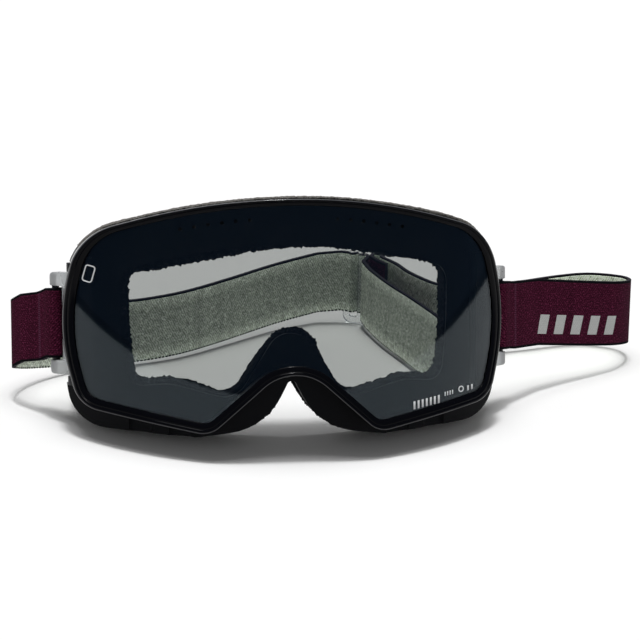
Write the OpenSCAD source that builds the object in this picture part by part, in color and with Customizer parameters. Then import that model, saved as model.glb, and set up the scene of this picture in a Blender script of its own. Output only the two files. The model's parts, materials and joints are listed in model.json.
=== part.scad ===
// Motocross goggles, standing on their face foam with the head strap behind them.
// Lengths are in millimetres. X runs across the face, Y from the lens to the strap, Z is up.
// The goggles are drawn upright in a frame of their own, with the eye line at z = 0,
// and are then leaned back onto the surface that they stand on.

/* [Lens rim outline] */
// Width over the sides of the lens rim
frame_w = 180; // [168:1:192]
// Height of the brow above the eye line
brow_h = 46; // [42:0.5:52]
// Height of the upper outer corners
temple_h = 31.8; // [28:0.2:34]
// Depth of the lower outer corners below the eye line
cheek_d = 37; // [34:0.5:41]
// Depth of the lowest corners, on each side of the nose
lobe_d = 46.9; // [44:0.1:49]
// Distance of those corners from the middle
lobe_x = 33.5; // [30:0.5:37]
// Depth of the nose notch's top below the eye line
nose_d = 23.3; // [20:0.1:26]
// Width of the rim along the brow
rim_top_w = 2.6; // [2:0.1:4]
// Width of the rim along the sides
rim_side_w = 4.7; // [3.5:0.1:6]
// Width of the rim along the cheeks
rim_cheek_w = 4.4; // [3.5:0.1:6]
// Width of the rim beside the nose
rim_nose_w = 3.8; // [3:0.1:5]

/* [Front curve and lens] */
// Radius of the rim's front face, seen from above
front_r = 120; // [110:1:150]
// Thickness of the rim, square to its front face
rim_t = 4; // [3.4:0.1:5]
// Length of the rim's skirt over the frame
skirt_l = 2.5; // [1.5:0.1:4]
// Thickness of the skirt
skirt_t = 1.2; // [0.8:0.1:1.6]
// Thickness of the rim's lip in front of the lens
lip_t = 1.2; // [0.8:0.1:1.6]
// Width of the raised band round the rim's outer edge
band_w = 1.5; // [1:0.1:2]
// Height by which that band stands in front of the rest of the rim
band_rise = 0.3; // [0.2:0.05:0.5]
// Thickness of the lens
lens_t = 0.9; // [0.7:0.1:1.2]
// Diameter of the vent holes along the lens's top edge
vent_d = 1.4; // [1:0.1:2]
// Number of vent holes on each side of the middle
vents = 6; // [3:1:7]
// Distance between neighbouring vent holes
vent_pitch = 5.35; // [4.5:0.05:6]
// Distance of the first vent hole from the middle
vent_start = 17.3; // [12:0.1:20]
// Distance of the vent holes below the brow's top
vent_drop = 7.4; // [6:0.1:9]

/* [Frame body] */
// Depth of the frame from the rim's front to the foam, at the sides
side_depth = 23; // [20:0.5:26]
// Radius of the frame's back, which follows the face
back_r = 118; // [110:1:126]
// Wall thickness of the frame
wall = 2.2; // [1.8:0.1:2.8]
// Depth of the face flange that carries the foam
flange_d = 8; // [4:0.5:8]
// Number of air slots in the brow on each side of the middle
brow_slots = 4; // [2:1:4]
// Length of one air slot
slot_l = 11; // [8:0.5:12]
// Width of one air slot
slot_w = 5; // [3:0.5:6]
// Thickness of the mesh foam over the air slots
mesh_t = 1.2; // [0.8:0.1:1.6]

/* [Face foam] */
// Thickness of the base layer on the frame
foam_base_t = 5; // [4:0.5:7]
// Thickness of the middle layer
foam_mid_t = 5.6; // [4:0.2:8]
// Thickness of the fleece against the skin
fleece_t = 2.4; // [1.6:0.2:3]
// Distance of the foam's sides inside the rim's sides
foam_inset = 5.5; // [4:0.5:8]
// Width of the foam beside the eyes
foam_side_w = 20; // [16:0.5:24]
// Height of the eye hole's top above the eye line
eye_h = 25.7; // [22:0.1:28]

/* [Outriggers] */
// Height of an outrigger
outrigger_h = 41.7; // [39:0.1:44]
// Height of its middle above the eye line
outrigger_z = -5; // [-6:0.25:-3.5]
// Distance of the hinge from the rim's side
hinge_inset = 5.2; // [4.8:0.1:5.4]
// Distance of the hinge behind the rim's front at its sides
hinge_back = 7.9; // [7.4:0.1:8.9]
// Diameter of the hinge pin
pin_d = 2.2; // [1.6:0.1:2.6]
// Radius of the hinge barrel
barrel_r = 3; // [2.6:0.1:3.1]
// Distance of the strap rod outside the hinge
rod_out = 7.5; // [7:0.1:9]
// Distance of the strap rod behind the hinge
rod_back = 8.5; // [8:0.1:10]
// Diameter of the strap rod
rod_d = 3; // [2.4:0.1:3.4]

/* [Strap and slider] */
// Width of the strap
strap_w = 28.8; // [26:0.2:30]
// Thickness of the strap
strap_t = 1.6; // [1.2:0.1:1.8]
// Thickness of the slider
slider_t = 2.4; // [2:0.1:3]
// Width of each of the slider's bars
bar_w = 2.8; // [2.2:0.1:3.4]
// Width of the slider's first slot
slot_in_w = 4; // [3.6:0.1:5]
// Width of its second slot, which holds two layers of strap
slot_out_w = 4.6; // [4.4:0.1:6]
// Height of the slider's rails above and below its slots
rail_h = 3; // [1.8:0.1:3.5]
// Height by which the slots are longer than the strap is wide
slot_slack = 3.4; // [3:0.1:5]

/* [Standing] */
// Angle by which the goggles lean back
lean = 14; // [10:0.5:16]
// Depth by which the foam is pressed flat where it stands
press_d = 0.5; // [0.2:0.1:0.8]

/* [Hidden] */
$fn = 96;
// gap between glued or seated pieces
seat = 0.05;
// running clearance of a pin in its barrel
running = 0.05;
// clearance between pieces that move past each other
clear = 0.3;
// more than any piece reaches
far = 200;
// outer corners of the rim, and where its front lies at the sides
side_x = frame_w / 2;
side_y = 2.627;
// centres of the front and back curves, seen from above
front_c = side_y + sqrt(front_r * front_r - side_x * side_x);
back_c = side_y + side_depth + sqrt(back_r * back_r - side_x * side_x);
foam_t = foam_base_t + foam_mid_t + fleece_t;
foam_back_r = back_r - foam_t;

// Plane geometry for outlines. A corner is [x, z, radius], clockwise as seen from the front.
function unit(v) = v / norm(v);
function flat(p) = [p[0], p[1]];
function cross2(a, b) = a[0] * b[1] - a[1] * b[0];
function turn2(v, a) = [v[0] * cos(a) - v[1] * sin(a), v[0] * sin(a) + v[1] * cos(a)];
function meet(p, u, q, w) = p + u * cross2(q - p, w) / cross2(u, w);

// the arc that rounds corner b between its neighbours a and c
function arc(a, b, c) =
    let (u = unit(flat(a) - flat(b)), w = unit(flat(c) - flat(b)),
         half = acos(u * w) / 2, r = b[2],
         middle = flat(b) + unit(u + w) * r / sin(half),
         start = flat(b) + u * r / tan(half) - middle,
         sweep = (180 - 2 * half) * (cross2(u, w) > 0 ? -1 : 1),
         steps = max(3, ceil(abs(sweep) / 9), ceil(abs(sweep) * PI / 180 * r / 11)))
    [for (i = [0 : steps]) middle + turn2(start, sweep * i / steps)];

// how far a corner's rounding reaches along its edges
function reach(a, b, c) =
    let (half = acos(unit(flat(a) - flat(b)) * unit(flat(c) - flat(b))) / 2) b[2] / tan(half);

// the rounded outline, in which a rounding ends where its neighbour's begins
function rounded(v) =
    let (n = len(v),
         t = [for (i = [0 : n - 1]) reach(v[(i + n - 1) % n], v[i], v[(i + 1) % n])],
         e = [for (i = [0 : n - 1]) norm(flat(v[(i + 1) % n]) - flat(v[i]))])
    [for (i = [0 : n - 1])
        let (j = (i + n - 1) % n, k = (i + 1) % n,
             share = min(1, (e[j] - t[j]) / t[i], (e[i] - t[k]) / t[i]))
        each arc(v[j], [v[i][0], v[i][1], v[i][2] * share], v[k])];

// both halves of an outline that is given from its top to its lowest middle point
function whole(h) = concat(h, [for (i = [len(h) - 2 : -1 : 1]) [-h[i][0], h[i][1], h[i][2]]]);
function both(d) = concat(d, [for (i = [len(d) - 1 : -1 : 0]) d[i]]);

// the outline moved inwards by a distance of its own for each edge
function inset(v, d) =
    let (n = len(v),
         e = [for (i = [0 : n - 1]) unit(flat(v[(i + 1) % n]) - flat(v[i]))],
         s = [for (i = [0 : n - 1]) flat(v[i]) + [e[i][1], -e[i][0]] * d[i]])
    [for (i = [0 : n - 1])
        let (j = (i + n - 1) % n,
             p = meet(s[j], e[j], s[i], e[i]),
             grow = cross2(e[j], e[i]) < 0 ? -1 : 1)
        [p[0], p[1], max(0.6, v[i][2] + grow * (d[i] + d[j]) / 2)]];
function evenly(v, d) = inset(v, [for (p = v) d]);

// Radii of the outline's brow, upper outer corner, side, lower outer corner, lobe and nose notch
brow_r = 236;
temple_r = 25;
side_r = 80;
cheek_r = 12;
lobe_r = 10;
nose_r = 18.3;
// Outline of the lens rim and of the frame's front
rim_v = whole([[0, brow_h + 9.1, brow_r], [side_x - 6.5, temple_h, temple_r], [side_x + 2.8, -4, side_r],
    [side_x - 5.8, -cheek_d, cheek_r], [lobe_x, -lobe_d, lobe_r], [0, 6.2 - nose_d, nose_r]]);
// Outline of the hole in the rim, where the lens shows
tint_v = inset(rim_v, both([rim_top_w, rim_side_w, rim_side_w, rim_cheek_w, rim_nose_w]));
// Outline of the face foam, which reaches down beside the nose
foam_x = side_x - foam_inset;
foam_lobe_x = lobe_x + 4.5;
foam_v = whole([[0, brow_h + 8.2, brow_r - 11], [foam_x - 5, temple_h, temple_r],
    [foam_x + 2.6, -4, side_r + 10], [foam_x - 3.5, -cheek_d - 5.4, cheek_r + 1],
    [foam_lobe_x, -lobe_d - 2.9, 18], [10.3, 0.7 - lobe_d, 28], [0, -nose_d - 2.3, 1.4]]);
// Outline of the hole for the eyes, with its hump over the nose
eye_x = foam_x - foam_side_w;
eye_v = whole([[0, eye_h + 8.5, brow_r - 21], [eye_x + 1, eye_h - 10.1, 7], [eye_x + 0.6, -6, 150],
    [eye_x - 1.6, 8.6 - cheek_d, 5], [eye_x - 17.5, 10.4 - cheek_d, 30],
    [foam_lobe_x - 15.4, 13.5 - lobe_d, 9], [0, 26.6 - nose_d, 10.8]]);

// Extrudes an outline along Y, far enough to pass through the whole frame
module prism(v) translate([0, far / 2, 0]) rotate([90, 0, 0]) linear_extrude(far) polygon(rounded(v));
// Everything behind a curve of radius r about a centre at y = c
module behind(c, r) translate([0, c, -far / 2]) cylinder(h = far, r = r, $fn = 240);
// A curved plate with the outline v, between two radii about one centre
module plate(v, c, r_out, r_in) {
    difference() {
        intersection() {
            prism(v);
            behind(c, r_out);
        }
        behind(c, r_in);
    }
}
// A curved ring between an outer and an inner outline
module ring(outer, inner, c, r_out, r_in) {
    difference() {
        plate(outer, c, r_out, r_in);
        prism(inner);
    }
}
module mirrored(side) if (side > 0) children(); else mirror([1, 0, 0]) children();
module box(low, high) translate(low) cube(high - low);

// Standing: the lean, the lift onto the surface and the middle of the whole as origin
function back_y(x) = back_c - sqrt(foam_back_r * foam_back_r - x * x);
function front_at(x) = front_c - sqrt(front_r * front_r - x * x);
function leaned(p) = [p[0], p[1] * cos(lean) + p[2] * sin(lean), p[2] * cos(lean) - p[1] * sin(lean)];
lift = -min([for (p = rounded(foam_v)) leaned([p[0], back_y(p[0]), p[1]])[2]]) - press_d;
function stand(p) = leaned(p) + [0, 0, lift];
module leaning() translate([-middle_x, -middle_y, lift]) rotate([-lean, 0, 0]) children();
module pressed() {
    difference() {
        leaning() children();
        box([-far, -far, -far], [far, far, 0]);
    }
}

// Pocket in each side for the hinge bracket and the outrigger's barrel
hinge_x = side_x - hinge_inset;
hinge_y = side_y + hinge_back;
lug_r = barrel_r + 0.1;
lug_h = 3.7;
bracket_t = 1.3;
fit = 0.1;
pocket_x = hinge_x - barrel_r - 1.8;
pocket_y = hinge_y - lug_r - clear;
out_low = outrigger_z - outrigger_h / 2;
out_high = outrigger_z + outrigger_h / 2;
pocket_top = out_high + clear + lug_h + 2 * fit;
pocket_low = out_low - clear - lug_h - 2 * fit;
module hinge_pocket() box([pocket_x, pocket_y, pocket_low], [far, far, pocket_top]);

// Lens: one curved sheet with two rows of vent holes below its top edge
lens_r = front_r - lip_t - seat;
lens_edge = 1.6;
lens_v = evenly(rim_v, lens_edge);
function brow_z(x) = brow_h - x * x / (2 * brow_r);
module lens() {
    color([0.25, 0.28, 0.33, 0.55]) difference() {
        plate(lens_v, front_c, lens_r, lens_r - lens_t);
        for (side = [-1, 1], i = [0 : vents - 1]) {
            x = side * (vent_start + i * vent_pitch);
            translate([x, front_at(x) - lens_t, brow_z(x) - vent_drop]) rotate([-90, 0, 0])
                cylinder(h = 6 * lens_t, d = vent_d, $fn = 24);
        }
    }
}

// Lens rim: a gloss ring with a lip over the lens and a skirt over the frame
rim_back_r = front_r - rim_t;
skirt_back_r = rim_back_r - skirt_l;
module lens_rim() {
    color([0.05, 0.05, 0.06]) difference() {
        ring(rim_v, tint_v, front_c, front_r, skirt_back_r);
        // the face behind its raised band, the seat of the lens and the room inside the skirt
        plate(evenly(rim_v, band_w), front_c, front_r + clear, front_r - band_rise);
        plate(evenly(rim_v, lens_edge - fit), front_c, front_r - lip_t, rim_back_r - clear);
        plate(evenly(rim_v, skirt_t), front_c, rim_back_r, skirt_back_r - clear);
        // the skirt stops short of the hinges at the sides
        intersection() {
            behind(front_c, rim_back_r + seat);
            for (side = [-1, 1]) mirrored(side) hinge_pocket();
        }
    }
}

// Lens seal: the soft strip between the lens and the frame's front edge
module lens_seal() {
    color([0.12, 0.12, 0.13])
        ring(lens_v, evenly(tint_v, -0.4),
            front_c, lens_r - lens_t - seat, rim_back_r + seat);
}

// Outline of the frame's face flange, which reaches lower than the rim at its outer corners
flange_v = whole([[0, brow_h + 7.4, brow_r - 11], [side_x - 8.5, temple_h - 0.6, temple_r],
    [side_x + 1.2, -4, side_r], [side_x - 3.6, -cheek_d - 8.4, cheek_r + 4],
    [foam_lobe_x, -lobe_d - 2.2, 18], [10.6, 1.6 - lobe_d, 27.4], [0, -nose_d - 0.8, 2]]);

slot_back = flange_d + 1;
slot_pitch = (side_x - 18) / brow_slots;
module air_slot(x, z_low, z_high) {
    angle = asin(x / (back_r + slot_back));
    translate([0, back_c, z_low]) rotate([0, 0, angle]) translate([0, -back_r - slot_back, 0]) {
        translate([-(slot_l - slot_w) / 2, -slot_w / 2, 0])
            cube([slot_l - slot_w, slot_w, z_high - z_low]);
        for (side = [-1, 1]) translate([side * (slot_l - slot_w) / 2, 0, 0])
            cylinder(h = z_high - z_low, d = slot_w, $fn = 32);
    }
}

// Frame: a soft tub with an inner step for the rim's skirt, air slots, two side pockets
// for the hinge brackets and a flange with the face's outline
module frame_tub() {
    difference() {
        union() {
            difference() {
                intersection() {
                    prism(rim_v);
                    behind(front_c, skirt_back_r - seat);
                }
                behind(back_c, back_r);
            }
            difference() {
                intersection() {
                    prism(evenly(rim_v, skirt_t + seat));
                    behind(front_c, rim_back_r - seat);
                }
                behind(back_c, back_r);
            }
            plate(flange_v, back_c, back_r + flange_d, back_r);
        }
        // the hollow behind the lens, up to the face flange
        difference() {
            prism(evenly(rim_v, wall));
            behind(back_c, back_r + wall);
            for (side = [-1, 1]) mirrored(side)
                box([pocket_x - wall, -far, pocket_low - wall], [far, far, pocket_top + wall]);
        }
        // the face flange is open for the eyes
        prism(evenly(eye_v, -1.5));
    }
}

module frame() {
    color([0.07, 0.07, 0.08]) difference() {
        frame_tub();
        for (side = [-1, 1]) mirrored(side) hinge_pocket();
        for (side = [-1, 1], i = [0.5 : brow_slots]) air_slot(side * i * slot_pitch, eye_h, far / 2);
        for (side = [-1, 1], x = [46, 30]) air_slot(side * (side_x - x), -far / 2, 7 - cheek_d);
    }
}

// Mesh foam over the air slots: a long strip on top of the brow, and one inside each cheek
module mesh_strip(outer, behind_r) {
    difference() {
        ring(evenly(rim_v, outer), evenly(rim_v, outer + mesh_t), front_c,
            skirt_back_r - clear, front_r / 2);
        behind(back_c, behind_r);
    }
}
module vent_foam_top() {
    color([0.42, 0.39, 0.37]) intersection() {
        mesh_strip(-mesh_t - seat, back_r + clear);
        box([-far, -far, temple_h - 5], [far, far, far]);
    }
}
module vent_foam(side) {
    color([0.2, 0.2, 0.21]) intersection() {
        mesh_strip(wall + seat, back_r + wall + clear);
        mirrored(side) box([lobe_x + 3, -far, -far], [side_x - 14, far, 7 - cheek_d]);
    }
}

// Face foam in three layers, each curved to the face
module foam_layer(from, thick) {
    ring(foam_v, eye_v, back_c, back_r - from - seat, back_r - from - thick);
}
module face_foam_base() color([0.13, 0.13, 0.14]) pressed() foam_layer(0, foam_base_t);
module face_foam_middle() {
    color([0.4, 0.37, 0.35]) pressed() foam_layer(foam_base_t, foam_mid_t);
}
module face_fleece() {
    color([0.1, 0.1, 0.11]) pressed() foam_layer(foam_base_t + foam_mid_t, fleece_t);
}

// Hinge of an outrigger, drawn for the right side and mirrored for the left
rod_x = hinge_x + rod_out;
rod_y = hinge_y + rod_back;
bracket_end = back_c - sqrt(back_r * back_r - pocket_x * pocket_x) - 2 * clear;
module hinge_bracket(side) {
    color([0.1, 0.1, 0.11]) mirrored(side) difference() {
        union() {
            box([pocket_x + seat, pocket_y + 2 * fit, pocket_low + fit],
                [pocket_x + bracket_t, bracket_end, pocket_top - fit]);
            for (z = [pocket_low + fit, out_high + clear]) {
                box([pocket_x + seat, hinge_y - lug_r, z], [hinge_x, hinge_y + lug_r, z + lug_h]);
                translate([hinge_x, hinge_y, z]) cylinder(h = lug_h, r = lug_r);
            }
        }
        translate([hinge_x, hinge_y, -far / 2]) cylinder(h = far, d = pin_d);
    }
}
module hinge_pin(side) {
    color([0.7, 0.7, 0.72]) mirrored(side) translate([hinge_x, hinge_y, pocket_low + 5 * fit])
        cylinder(h = pocket_top - pocket_low - 10 * fit, d = pin_d);
}

// a flat link between two round ends, seen from above
module link(p, rp, q, rq) {
    gap = norm(q - p);
    along = (q - p) / gap;
    lift_a = (rp - rq) / gap;
    spread = sqrt(1 - lift_a * lift_a);
    n1 = [along[0] * lift_a - along[1] * spread, along[1] * lift_a + along[0] * spread];
    n2 = [along[0] * lift_a + along[1] * spread, along[1] * lift_a - along[0] * spread];
    polygon([p + n1 * rp, q + n1 * rq, q + n2 * rq, p + n2 * rp]);
    translate(p) circle(r = rp);
    translate(q) circle(r = rq);
}

// Outrigger: a barrel on the hinge pin, a web, and two ears that hold the strap rod
ear_r = rod_d / 2 + 0.9;
ear_gap = 0.8;
ear_h = (outrigger_h - strap_w) / 2 - ear_gap;
rod_end = 1;
web_r = 1.1;
module outrigger(side) {
    web_end = [hinge_x, hinge_y] + 0.55 * [rod_out, rod_back];
    color([0.55, 0.57, 0.6, 0.6]) mirrored(side) difference() {
        union() {
            translate([hinge_x, hinge_y, out_low]) cylinder(h = outrigger_h, r = barrel_r);
            translate([0, 0, out_low]) linear_extrude(outrigger_h)
                link([hinge_x, hinge_y], web_r, web_end, web_r - 2 * fit);
            for (z = [out_low, out_high - ear_h]) translate([0, 0, z]) linear_extrude(ear_h)
                link([hinge_x, hinge_y], barrel_r, [rod_x, rod_y], ear_r);
        }
        translate([hinge_x, hinge_y, -far / 2]) cylinder(h = far, d = pin_d + 2 * running);
        translate([rod_x, rod_y, out_low + rod_end])
            cylinder(h = outrigger_h - 2 * rod_end, d = rod_d);
    }
}
module strap_rod(side) {
    color([0.06, 0.06, 0.07]) mirrored(side) translate([rod_x, rod_y, out_low + rod_end])
        cylinder(h = outrigger_h - 2 * rod_end, d = rod_d);
}

// Slider: a flat plate with three upright bars. It stands on edge in the strap's run.
// Its own plan has u along the plate and v across it; u = 0 is the plate's middle.
slider_l = 3 * bar_w + slot_in_w + slot_out_w;
slider_h = strap_w + slot_slack + 2 * rail_h;
slider_at = [49.5, 125.3];
slider_turn = -25;
slider_low = 0.1;
slot_a = -slider_l / 2 + bar_w;
slot_b = slider_l / 2 - bar_w - slot_out_w;
function on_slider(u, v) = slider_at + turn2([u, v], slider_turn);
module slider_slot(u, w) {
    polygon(rounded([[u, slider_h - rail_h, 0.8], [u + w, slider_h - rail_h, 0.8],
        [u + w, rail_h, 0.8], [u, rail_h, 0.8]]));
}
module strap_slider() {
    l = slider_l / 2;
    color([0.8, 0.83, 0.85, 0.5]) translate([slider_at[0] - middle_x, slider_at[1] - middle_y, slider_low])
        rotate([0, 0, slider_turn]) translate([0, slider_t / 2, 0]) rotate([90, 0, 0])
            linear_extrude(slider_t) difference() {
                polygon(rounded([[-l, slider_h, 4], [l, slider_h, 4], [l, 0, 4], [-l, 0, 4]]));
                slider_slot(slot_a, slot_in_w);
                slider_slot(slot_b, slot_out_w);
            }
}

// Strap: a woven band swept along its route. A route point is [x, y, height, tip_x, tip_y],
// where height is that of the band's middle and the tips are how far its width direction
// moves across and backwards for each millimetre that it rises.
wrap_r = rod_d / 2 + clear + strap_t / 2;
layer = strap_t / 2 + 0.12;
half_w = strap_w / 2;
strap_exit = 45;
sewn_l = 9;

// the sewn end around a strap rod, from the cut end to the band that leaves it
function end_loop(side, dip) = [for (p = concat(
        [[sewn_l, layer], [sewn_l * 0.74, layer], [sewn_l * 0.52, layer * 1.35], [sewn_l * 0.3, layer * 2.3]],
        [for (a = [90 : 30 : 270]) wrap_r * [cos(a), sin(a)]],
        [[sewn_l * 0.3, -layer * 2.3], [sewn_l * 0.52, -layer * 1.35], [sewn_l * 0.74, -layer],
         [sewn_l, -layer]]))
    let (q = turn2(p, strap_exit), s = stand([side * (rod_x + q[0]), rod_y + q[1], outrigger_z]))
    [s[0], s[1], s[2] - dip * max(0, p[0] - ear_r) / (sewn_l - ear_r), 0, tan(lean)]];

// the run beside the goggles is counted from the rod, the rest from the slider's side
rod_at = stand([rod_x, rod_y, outrigger_z]);
left_near = [[-13.7, 12.2, -6.2, 0.21], [-17.6, 19.5, -11.2, 0.18], [-13.6, 31.5, -16.2, 0.14],
    [-1.4, 43.8, -20.2, 0.1], [14, 51.2, -22.4, 0.07]];
left_rear = [[-60, 73, 1.5, 0], [-44, 78.5, 1.8, 0], [-31, 86, 2.1, 0], [-14, 99, 2.6, 0],
    [9, 117, 3.6, 0], [29, 127.4, 5.2, 0]];
left_tail = [[50.4, 110, 2.4, 0.02], [54.6, 90, 2, 0.07], [61, 68, 1.6, 0.12], [67, 46, 1.2, 0.15],
    [70.8, 32, 1, 0.15]];
right_near = [[20, 17.5, -4.8, 0.21], [33.5, 25.5, -8, 0.17], [48.5, 33.5, -11.2, 0.14],
    [61.3, 41.5, -14, 0.1], [69, 53, -16.8, 0.07], [67.8, 65, -18.6, 0.04], [55.4, 72.2, -19.4, 0.04],
    [41.5, 71.5, -20, 0.04], [20.5, 65.6, -20.8, 0.04]];
right_rear = [[95, 80.5, 3, 0], [79, 85, 2.8, 0], [68.6, 100, 3.3, 0], [63, 111, 4.8, 0]];

function near(side, v) = [for (p = v)
    [side * rod_at[0] + p[0], rod_at[1] + p[1], rod_at[2] + p[2], 0, p[3]]];
function rear(v) = [for (p = v) [p[0] + half_w * p[3], p[1], p[2] + half_w, p[3], 0]];
strap_mid = slider_low + rail_h + half_w;
function weave(v, from, to) = [for (i = [0 : len(v) - 1])
    let (q = on_slider(v[i][0], v[i][1])) [q[0], q[1], strap_mid + from + (to - from) * i / (len(v) - 1), 0, 0]];

// around a bar's corner, at the strap's running distance from it
bend_r = clear + strap_t / 2;
bar_face = slider_t / 2;
function around(u, v, from, to) = [for (i = [0 : 3]) let (a = from + (to - from) * i / 3)
    [u + bend_r * cos(a), v + bend_r * sin(a)]];
// through the first slot, behind the middle bar and out of the second slot
mid_bar = [slot_a + slot_in_w, slot_b];
slant = atan2(slider_t, slot_in_w) + asin(2 * bend_r / norm([slider_t, slot_in_w]));
left_weave = weave(concat([[-slider_l / 2 - 1, -bar_face - bend_r]],
    around(slot_a, -bar_face, -90, slant - 90), around(mid_bar[0], bar_face, slant + 90, 90),
    around(mid_bar[1], bar_face, 90, 0), [[mid_bar[1] + bend_r, -bar_face], [mid_bar[1] + bend_r, -6]]),
    2.9, 0.5);
// around the last bar, with the sewn end in front
end_bar = [slot_b + slot_out_w, slider_l / 2];
right_weave = weave(concat([[end_bar[1] + bend_r, -bar_face - bend_r]],
    around(end_bar[1], bar_face, 0, 90), around(end_bar[0], bar_face, 90, 180),
    [[end_bar[0] - bend_r, -bar_face - 1]]), 2.6, 2.2);
right_sewn = [[55.2, 117], [57.4, 112.6], [60, 107.8], [62.6, 103]];

// a smooth curve through the points, with steps pieces between neighbours
function blend(a, b, c, d, t) = 0.5 * (2 * b + (c - a) * t + (2 * a - 5 * b + 4 * c - d) * t * t
    + (3 * b - a - 3 * c + d) * t * t * t);
function smooth(v, steps) = let (n = len(v)) concat(
    [for (i = [0 : n - 2], k = [0 : steps - 1])
        blend(v[max(i - 1, 0)], v[i], v[i + 1], v[min(i + 2, n - 1)], k / steps)],
    [v[n - 1]]);

left_route = concat(end_loop(-1, 2), smooth(concat(near(-1, left_near), rear(left_rear)), 4),
    left_weave, smooth(rear(left_tail), 3));
right_route = concat(end_loop(1, 0.6), smooth(concat(near(1, right_near), rear(right_rear)), 4),
    right_weave, [for (p = right_sewn) [p[0], p[1], strap_mid + 1.6, 0, 0]]);

// the band's cross-section, with its edges thinned
section = [[1, 0.5], [0.95, 1], [-0.95, 1], [-1, 0.5], [-1, -0.5], [-0.95, -1], [0.95, -1], [1, -0.5]];
function place3(p) = [p[0], p[1], p[2]];
function band(route) = let (n = len(route)) [for (i = [0 : n - 1])
    let (along = unit(place3(route[min(i + 1, n - 1)]) - place3(route[max(i - 1, 0)])),
         wide = unit([route[i][3], route[i][4], 1]),
         thick = unit(cross(along, wide)))
    for (s = section) place3(route[i]) + wide * s[0] * half_w + thick * s[1] * strap_t / 2];
module sweep(route) {
    n = len(route);
    m = len(section);
    polyhedron(band(route), concat(
        [[for (k = [0 : m - 1]) k]],
        [for (i = [0 : n - 2], k = [0 : m - 1], half = [0, 1])
            let (a = i * m + k, b = i * m + (k + 1) % m)
            half == 0 ? [a, a + m, b] : [b, a + m, b + m]],
        [[for (k = [m - 1 : -1 : 0]) (n - 1) * m + k]]));
}
module strap_left() {
    color([0.4, 0.1, 0.17]) translate([-middle_x, -middle_y, 0]) sweep(left_route);
}
module strap_right() {
    color([0.4, 0.1, 0.17]) translate([-middle_x, -middle_y, 0]) sweep(right_route);
}

// the middle of the whole, seen from above, which is the origin
all_points = concat(band(left_route), band(right_route));
low_y = min([for (p = rounded(rim_v)) stand([p[0], front_at(p[0]), p[1]])[1]]);
middle_x = (min([for (p = all_points) p[0]]) + max([for (p = all_points) p[0]])) / 2;
high_y = max(on_slider(-slider_l / 2, bar_face)[1], max([for (p = all_points) p[1]]));
middle_y = (low_y + high_y) / 2;

leaning() lens();
leaning() lens_rim();
leaning() lens_seal();
leaning() frame();
leaning() vent_foam_top();
leaning() vent_foam(-1);  // vent_foam_left
leaning() vent_foam(1);  // vent_foam_right
face_foam_base();
face_foam_middle();
face_fleece();
leaning() hinge_bracket(-1);  // hinge_bracket_left
leaning() hinge_bracket(1);  // hinge_bracket_right
leaning() hinge_pin(-1);  // hinge_pin_left
leaning() hinge_pin(1);  // hinge_pin_right
leaning() outrigger(-1);  // outrigger_left
leaning() outrigger(1);  // outrigger_right
leaning() strap_rod(-1);  // strap_rod_left
leaning() strap_rod(1);  // strap_rod_right
strap_left();
strap_right();
strap_slider();
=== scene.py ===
# Motocross goggles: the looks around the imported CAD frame.
# Shapes are worked out in millimetres and placed in metres at the end of each piece.
import json
import math

import bmesh
import bpy
from mathutils import Matrix, Vector, kdtree, noise


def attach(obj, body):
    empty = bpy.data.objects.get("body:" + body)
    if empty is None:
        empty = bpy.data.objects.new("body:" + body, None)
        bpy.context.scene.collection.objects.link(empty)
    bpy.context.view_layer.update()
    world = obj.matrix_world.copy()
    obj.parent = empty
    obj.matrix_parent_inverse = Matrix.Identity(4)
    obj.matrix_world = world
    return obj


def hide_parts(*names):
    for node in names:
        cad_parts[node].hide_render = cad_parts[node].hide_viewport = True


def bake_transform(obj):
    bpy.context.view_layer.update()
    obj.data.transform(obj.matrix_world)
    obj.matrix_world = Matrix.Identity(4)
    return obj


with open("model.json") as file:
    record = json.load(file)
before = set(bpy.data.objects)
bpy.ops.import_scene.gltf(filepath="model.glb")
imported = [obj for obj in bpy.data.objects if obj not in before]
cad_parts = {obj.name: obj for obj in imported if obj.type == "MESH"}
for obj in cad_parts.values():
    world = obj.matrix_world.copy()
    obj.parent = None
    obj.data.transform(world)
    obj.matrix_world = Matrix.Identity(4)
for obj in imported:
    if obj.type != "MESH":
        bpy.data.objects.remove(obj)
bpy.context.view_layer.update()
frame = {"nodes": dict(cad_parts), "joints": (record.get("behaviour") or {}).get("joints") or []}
nodes = frame["nodes"]
metre = 0.001
print("frame loaded")

# places: the goggles are drawn upright and leaned back, as in the CAD
standing = {
    "lean": 14.0,
    "hinge": (84.8, 10.527, -5.0),   # right hinge in the goggles' own frame
    "frontMiddle": 82.0,           # centre of the front curve
    "frontRadius": 120.0,
}
leanAngle = math.radians(standing["lean"])


def leanedBack(p):
    c, s = math.cos(leanAngle), math.sin(leanAngle)
    return Vector((p[0], p[1] * c + p[2] * s, p[2] * c - p[1] * s))


joints = {j["name"]: j for j in frame["joints"]}
hingePoint = Vector(joints["outrigger_right_hinge"]["pos_m"]) / metre
shift = hingePoint - leanedBack(standing["hinge"])
floorMiddle = Vector((-shift.x, -shift.y, 0))


def standUp(p):
    return leanedBack(p) + shift


def layDown(p):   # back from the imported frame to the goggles' own frame
    q = Vector(p) - shift
    c, s = math.cos(leanAngle), math.sin(leanAngle)
    return Vector((q.x, q.y * c - q.z * s, q.y * s + q.z * c))


def eased(t):
    t = min(1.0, max(0.0, t))
    return t * t * (3 - 2 * t)


def between(table, x):   # the value at x, from a short table
    for (x0, v0), (x1, v1) in zip(table, table[1:]):
        if x <= x1:
            return v0 + (v1 - v0) * (max(x, x0) - x0) / (x1 - x0)
    return table[-1][1]


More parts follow.
